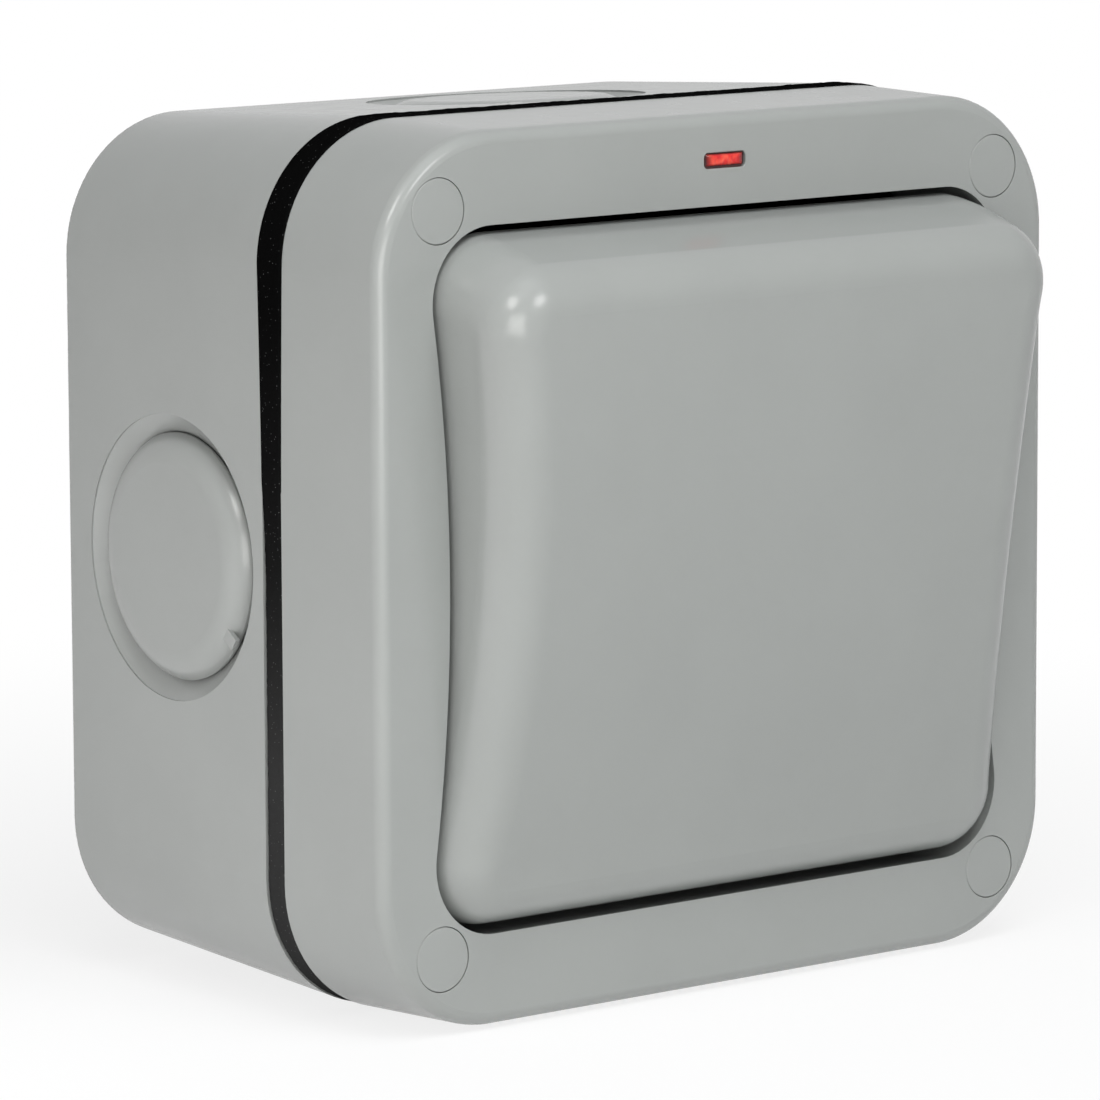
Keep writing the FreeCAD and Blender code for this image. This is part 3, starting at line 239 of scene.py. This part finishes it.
def joined(tree, way, first, second):
    """Two numbers in one sum, product, maximum or the like."""
    node = add(tree, "ShaderNodeMath", operation=way)
    tree.links.new(first, node.inputs[0])
    tree.links.new(second, node.inputs[1])
    return node.outputs["Value"]


def grey(value, tint=(1.0, 1.0, 1.0)):
    return tuple(value * t for t in tint)


def greys(stops):
    return [(where, grey(value)) for where, value in stops]


def height_share(tree):
    """The part's height, from nothing at its lower edge to one at its upper edge."""
    parts = tree.nodes.new("ShaderNodeSeparateXYZ")
    tree.links.new(place(tree), parts.inputs["Vector"])
    return stretch(tree, parts.outputs["Z"], (cad_box[0].z, cad_box[1].z), (0.0, 1.0))


def window_edge(tree):
    """Nothing at the middle of the indicator's lens, and one at its edges."""
    fit = add(tree, "ShaderNodeVectorMath", operation="MULTIPLY_ADD")
    tree.links.new(place(tree), fit.inputs[0])
    fit.inputs[1].default_value = (1 / (LENS_HALF_WIDTH * MM), 0, 1 / (LENS_HALF_HEIGHT * MM))
    fit.inputs[2].default_value = (-LENS_X / LENS_HALF_WIDTH, 0, -LENS_Z / LENS_HALF_HEIGHT)
    size = add(tree, "ShaderNodeVectorMath", operation="ABSOLUTE")
    tree.links.new(fit.outputs["Vector"], size.inputs[0])
    parts = tree.nodes.new("ShaderNodeSeparateXYZ")
    tree.links.new(size.outputs["Vector"], parts.inputs["Vector"])
    return joined(tree, "MAXIMUM", parts.outputs["X"], parts.outputs["Z"])


def grey_plastic():
    """Satin moulded plastic with a faint drift of tone and gloss, and a slightly uneven surface."""
    made, tree, shader = material("grey_plastic")
    dark, light = (grey(tone, PLASTIC_TINT) for tone in PLASTIC_TONES)
    tree.links.new(mottle(tree, 14.0, dark, light), shader.inputs["Base Color"])
    shader.inputs["Specular IOR Level"].default_value = PLASTIC_SPECULAR
    roughen(tree, shader, 3.0, PLASTIC_ROUGHNESS)
    tree.links.new(bump(tree, grain(tree, 5.0, 1.0), 0.004), shader.inputs["Normal"])
    return made


def black_rubber():
    """Sponge rubber with pores and pale flecks, and painted shade by height that leaves it darker towards its upper end
    and greyer towards its lower end.
    """
    made, tree, shader = material("black_rubber")
    # painted shade by height: darker towards the upper end, greyer towards the lower end
    tone = ramp(tree, height_share(tree), greys(RUBBER_TONE_WITH_PAINTED_SHADE))
    flecks = ramp(tree, cells(tree, 0.5), greys(RUBBER_FLECKS))
    tree.links.new(mixed(tree, "ADD", tone, flecks), shader.inputs["Base Color"])
    shader.inputs["Specular IOR Level"].default_value = 0.0
    roughen(tree, shader, 0.4, RUBBER_ROUGHNESS)
    pores = bump(tree, cells(tree, 0.3), 0.03)
    tree.links.new(bump(tree, grain(tree, 1.2), 0.03, pores), shader.inputs["Normal"])
    return made


def red_lens():
    """Clear red plastic with a mottled painted glow of the lamp behind it, and painted shade that darkens it at its
    edges.
    """
    made, tree, shader = material("red_lens")
    patches = ramp(tree, grain(tree, 1.3, 2.0), LENS_TONES)
    # painted shade towards the lens's edges
    painted_rim_shade = ramp(tree, window_edge(tree), greys(LENS_PAINTED_RIM_SHADE))
    colour = mixed(tree, "MULTIPLY", patches, painted_rim_shade)
    tree.links.new(colour, shader.inputs["Base Color"])
    # painted glow of the lamp behind the lens
    tree.links.new(colour, shader.inputs["Emission Color"])
    shader.inputs["Emission Strength"].default_value = LENS_GLOW
    roughen(tree, shader, 0.8, LENS_ROUGHNESS)
    tree.links.new(bump(tree, grain(tree, 0.9), 0.02), shader.inputs["Normal"])
    return made


def lamp_glass():
    """The neon lamp's warm, lit tube."""
    made, tree, shader = material("lamp_glass")
    tree.links.new(mottle(tree, 2.0, *LAMP_TONES), shader.inputs["Base Color"])
    shader.inputs["Transmission Weight"].default_value = LAMP_CLEAR
    shader.inputs["Emission Color"].default_value = LAMP_GLOW_COLOUR
    shader.inputs["Emission Strength"].default_value = LAMP_GLOW
    roughen(tree, shader, 1.0, LAMP_ROUGHNESS)
    return made


def moulding(name, dark, light, rough):
    """A plain inner moulding with a fine matt surface."""
    made, tree, shader = material(name)
    tree.links.new(mottle(tree, 5.0, dark, light), shader.inputs["Base Color"])
    roughen(tree, shader, 1.5, (rough - 0.06, rough + 0.06))
    tree.links.new(bump(tree, grain(tree, 0.25), 0.002), shader.inputs["Normal"])
    return made


def metal(name, dark, light, rough):
    """A drawn or turned metal with faint marks along its surface."""
    made, tree, shader = material(name)
    shader.inputs["Metallic"].default_value = 1.0
    tree.links.new(mottle(tree, 2.5, dark, light), shader.inputs["Base Color"])
    roughen(tree, shader, 0.6, (rough - 0.07, rough + 0.1))
    tree.links.new(bump(tree, grain(tree, 0.15), 0.002), shader.inputs["Normal"])
    return made


LOOKS = {
    "grey_plastic": grey_plastic(),
    "black_rubber": black_rubber(),
    "red_lens": red_lens(),
    "lamp_glass": lamp_glass(),
    "black_plastic": moulding("black_plastic", grey(0.012), grey(0.02), 0.5),
    "white_plastic": moulding("white_plastic", (0.66, 0.65, 0.61), (0.72, 0.71, 0.68), 0.45),
    "steel": metal("steel", grey(0.5), grey(0.6), 0.36),
    "brass": metal("brass", (0.62, 0.43, 0.16), (0.72, 0.52, 0.22), 0.36),
    "copper": metal("copper", (0.66, 0.33, 0.19), (0.76, 0.42, 0.26), 0.36),
}


def dress_nodes():
    """Give every CAD node the look of its slot in the record."""
    for row in frame["record"]["subparts"]:
        slots = nodes[row["node"]].data.materials
        slots.clear()
        slots.append(LOOKS[row["material_slot"]])


def piece(name, form, body, slot):
    """A new object of the form's faces, which rides on a body and takes a slot's look."""
    mesh = bpy.data.meshes.new(name)
    form.to_mesh(mesh)
    form.free()
    made = bpy.data.objects.new(name, mesh)
    bpy.context.scene.collection.objects.link(made)
    mesh.materials.append(LOOKS[slot])
    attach(made, body)
    return made


def skin(form, loops):
    """Faces from each closed loop of points to the next, and from the last to the first, in one list for each loop."""
    strips = []
    for a, b in zip(loops, loops[1:] + loops[:1]):
        strip = []
        for k in range(len(a)):
            n = (k + 1) % len(a)
            strip.append(form.faces.new((a[k], a[n], b[n], b[k])))
        strips.append(strip)
    return strips


def smooth(strips):
    for strip in strips:
        for face in strip:
            face.smooth = True


def rounded_square(side, corner, step):
    """Points and outward directions round a square with round corners, in the X and Z plane."""
    straight = side / 2 - corner
    points = []
    along = max(2, round(2 * straight / step))
    around = max(4, round(corner * math.pi / 2 / step))
    for quarter, (i, j) in enumerate(CORNERS):
        centre = Vector((i * straight, 0, j * straight))
        for k in range(around):
            angle = math.pi / 2 * (quarter + k / around)
            out = Vector((math.cos(angle), 0, math.sin(angle)))
            points.append((centre + corner * out, out))
        angle = math.pi / 2 * (quarter + 1)
        out = Vector((math.cos(angle), 0, math.sin(angle)))
        run = Vector((-math.sin(angle), 0, math.cos(angle)))
        for k in range(along):
            points.append((centre + corner * out + run * (2 * straight * k / along), out))
    return points


def gasket_edge():
    """The gasket's pressed outer edge: bulged between the rims, and as uneven as cut sponge."""
    low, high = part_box("seam_gasket")
    side = (high.x - low.x) / MM
    reach = SEAL_REACH * side
    middle, half = (high.y + low.y) / 2 / MM, (high.y - low.y) / 2 / MM
    form = bmesh.new()
    loops = []
    for point, out in rounded_square(side, SEAL_CORNER, SEAL_STEP):
        press = min(1.0, max(0.0, point.z / reach))
        early = min(1.0, press / SEAL_EARLY)
        sideways = min(1.0, abs(point.x) / reach)
        lip = SEAL_LIP * press ** SEAL_LIP_POWER * (SEAL_LIP_MIDDLE + (1 - SEAL_LIP_MIDDLE) * sideways)
        full = SEAL_BULGE + SEAL_SQUEEZE * early
        end = (SEAL_LIP_OUT + SEAL_UNEVEN) * early - SEAL_UNEVEN
        row = []
        for k in range(SEAL_ROWS):
            across = 2 * k / (SEAL_ROWS - 1) - 1
            y = middle + across * (half + lip)
            spot = Vector((point.x, y, point.z))
            pits = sum(SEAL_UNEVEN * share * noise.noise(spot * rate) for rate, share in SEAL_PITS)
            swell = end + (full + pits - end) * (1 - across ** SEAL_SQUARENESS)
            spot = point + out * swell
            row.append(form.verts.new((spot.x * MM, y * MM, spot.z * MM)))
        for y in (high.y, low.y):
            spot = point - out * SEAL_BITE
            row.append(form.verts.new((spot.x * MM, y, spot.z * MM)))
        loops.append(row)
    smooth(skin(form, loops))
    bmesh.ops.recalc_face_normals(form, faces=form.faces)
    return piece("gasket_edge", form, "housing", "black_rubber")


def lens_crown():
    """The lens's moulded front: a soft pillow with fine flutes, on the lens's flat face."""
    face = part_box("indicator_lens")[0].y
    across, up = LENS_GRID
    across_power, up_power = LENS_CURVES
    form = bmesh.new()
    rows = []
    for j in range(up + 1):
        w = 2 * j / up - 1
        row = []
        for i in range(across + 1):
            u = 2 * i / across - 1
            swell = LENS_BULGE * (1 - u ** across_power) * (1 - w ** up_power)
            flute = LENS_FLUTES * math.sin(u * LENS_FLUTE_COUNT * math.pi) * (1 - u ** 2) * (1 - w ** 2)
            drawn = 1 - LENS_CORNER * (u * w) ** 4
            row.append(form.verts.new(((LENS_X + u * drawn * LENS_HALF_WIDTH) * MM, face - (swell + flute) * MM,
                                       (LENS_Z + w * drawn * LENS_HALF_HEIGHT) * MM)))
        rows.append(row)
    for a, b in zip(rows, rows[1:]):
        for k in range(across):
            form.faces.new((a[k], a[k + 1], b[k + 1], b[k])).smooth = True
    return piece("lens_crown", form, "housing", "red_lens")


def rounded_plate(x, z, width, height, corner, y):
    """Points round a plate with round corners, in millimetres."""
    points = []
    for quarter, (i, j) in enumerate(CORNERS):
        for k in range(LIP_CORNER_STEPS + 1):
            angle = math.pi / 2 * (quarter + k / LIP_CORNER_STEPS)
            points.append((x + i * (width / 2 - corner) + corner * math.cos(angle), y,
                           z + j * (height / 2 - corner) + corner * math.sin(angle)))
    return points


def window_lip():
    """The cover's moulded lip round the indicator, rolled at the window's edge."""
    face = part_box("indicator_lens")[0].y / MM - LENS_SETBACK
    front, back = face - LIP_PROUD, face + LIP_DEPTH
    x, z, width, height, corner = LIP_WINDOW
    rings = [rounded_plate(*LIP_OUTSIDE, back), rounded_plate(*LIP_OUTSIDE, front)]
    for k in range(LIP_STEPS + 1):
        angle = math.pi / 2 * k / LIP_STEPS
        grown = LIP_ROLL * (1 - math.sin(angle))
        rings.append(rounded_plate(x, z, width + 2 * grown, height + 2 * grown, corner + grown,
                                   front + LIP_ROLL * (1 - math.cos(angle))))
    form = bmesh.new()
    loops = [[form.verts.new([c * MM for c in point]) for point in ring] for ring in rings]
    smooth(skin(form, loops)[2:-1])
    bmesh.ops.recalc_face_normals(form, faces=form.faces)
    return piece("window_lip", form, "housing", "grey_plastic")


def seen_directly(tree):
    """One for camera and transmission rays, a share for glossy ones, and nothing for the light that falls on things."""
    path = tree.nodes.new("ShaderNodeLightPath")
    mirrored = add(tree, "ShaderNodeMath", operation="MULTIPLY")
    tree.links.new(path.outputs["Is Glossy Ray"], mirrored.inputs[0])
    mirrored.inputs[1].default_value = REFLECTED_WHITE
    total = joined(tree, "MAXIMUM", path.outputs["Is Camera Ray"], mirrored.outputs["Value"])
    return joined(tree, "MAXIMUM", total, path.outputs["Is Transmission Ray"])


def floor_white(tree):
    """The floor's share of plain white, which leaves room for the part's shadow near it."""
    far = add(tree, "ShaderNodeVectorMath", operation="LENGTH")
    tree.links.new(place(tree), far.inputs[0])
    fade = add(tree, "ShaderNodeMapRange", interpolation_type="SMOOTHSTEP")
    fade.inputs["From Min"].default_value, fade.inputs["From Max"].default_value = FLOOR_FADE
    fade.inputs["To Min"].default_value, fade.inputs["To Max"].default_value = FLOOR_SHOWN_WHITE
    tree.links.new(far.outputs["Value"], fade.inputs["Value"])
    return joined(tree, "MULTIPLY", seen_directly(tree), fade.outputs["Result"])


def mixed_shaders(tree, share, first, second):
    """The second shader by this share, over the first."""
    mix = tree.nodes.new("ShaderNodeMixShader")
    tree.links.new(share, mix.inputs["Fac"])
    tree.links.new(first, mix.inputs[1])
    tree.links.new(second, mix.inputs[2])
    return mix.outputs["Shader"]


def make_floor():
    """A plain pale floor under the part, which keeps its shadow."""
    lowest = cad_box[0].z - FLOOR_DROP
    half = FLOOR_SIZE / 2
    mesh = bpy.data.meshes.new("floor")
    mesh.from_pydata([(-half, -half, lowest), (half, -half, lowest), (half, half, lowest), (-half, half, lowest)],
                     [], [(0, 1, 2, 3)])
    floor = bpy.data.objects.new("floor", mesh)
    bpy.context.scene.collection.objects.link(floor)
    made, tree, shader = material("floor")
    shader.inputs["Base Color"].default_value = (*grey(FLOOR_GREY), 1.0)
    shader.inputs["Roughness"].default_value = FLOOR_ROUGHNESS
    shader.inputs["Specular IOR Level"].default_value = 0.0
    white = add(tree, "ShaderNodeEmission", Strength=1.0)
    mix = mixed_shaders(tree, floor_white(tree), shader.outputs["BSDF"], white.outputs["Emission"])
    tree.links.new(mix, tree.nodes["Material Output"].inputs["Surface"])
    mesh.materials.append(made)


def make_world():
    """A faint fill, seen as plain white."""
    world = bpy.data.worlds.new("studio")
    bpy.context.scene.world = world
    world.use_nodes = True
    tree = world.node_tree
    tree.nodes.clear()
    fill = add(tree, "ShaderNodeBackground", Color=(1, 1, 1, 1), Strength=WORLD_FILL)
    white = add(tree, "ShaderNodeBackground", Color=(1, 1, 1, 1), Strength=1.0)
    mix = mixed_shaders(tree, seen_directly(tree), fill.outputs["Background"], white.outputs["Background"])
    output = tree.nodes.new("ShaderNodeOutputWorld")
    tree.links.new(mix, output.inputs["Surface"])


def make_lights():
    """Soft lights that look at the part's centre."""
    centre = (cad_box[0] + cad_box[1]) / 2
    for name, (direction, distance, size, power, shape, colour, mirrored) in LIGHTS.items():
        data = bpy.data.lights.new(name, "AREA")
        data.shape = shape
        data.size = size
        data.energy = power
        data.color = colour
        light = bpy.data.objects.new(name, data)
        out = Vector(direction).normalized()
        light.location = centre + out * distance
        light.rotation_euler = (-out).to_track_quat("-Z", "Y").to_euler()
        light.visible_camera = False
        light.visible_glossy = mirrored
        bpy.context.scene.collection.objects.link(light)


def make_camera():
    """The photograph's camera."""
    data = bpy.data.cameras.new("camera")
    data.sensor_width = CAMERA_SENSOR
    data.lens = CAMERA_LENS
    data.shift_x, data.shift_y = CAMERA_SHIFT
    camera = bpy.data.objects.new("camera", data)
    look = CAMERA_LOOK.normalized()
    right = look.cross(CAMERA_UP).normalized()
    up = right.cross(look)
    turn = Matrix((right, up, -look)).transposed()
    camera.matrix_world = Matrix.Translation(CAMERA_PLACE) @ turn.to_4x4()
    bpy.context.scene.collection.objects.link(camera)
    bpy.context.scene.camera = camera


dress_nodes()
gasket_edge()
lens_crown()
window_lip()
make_floor()
make_world()
make_lights()
make_camera()
bpy.context.scene.view_settings.view_transform = "Standard"
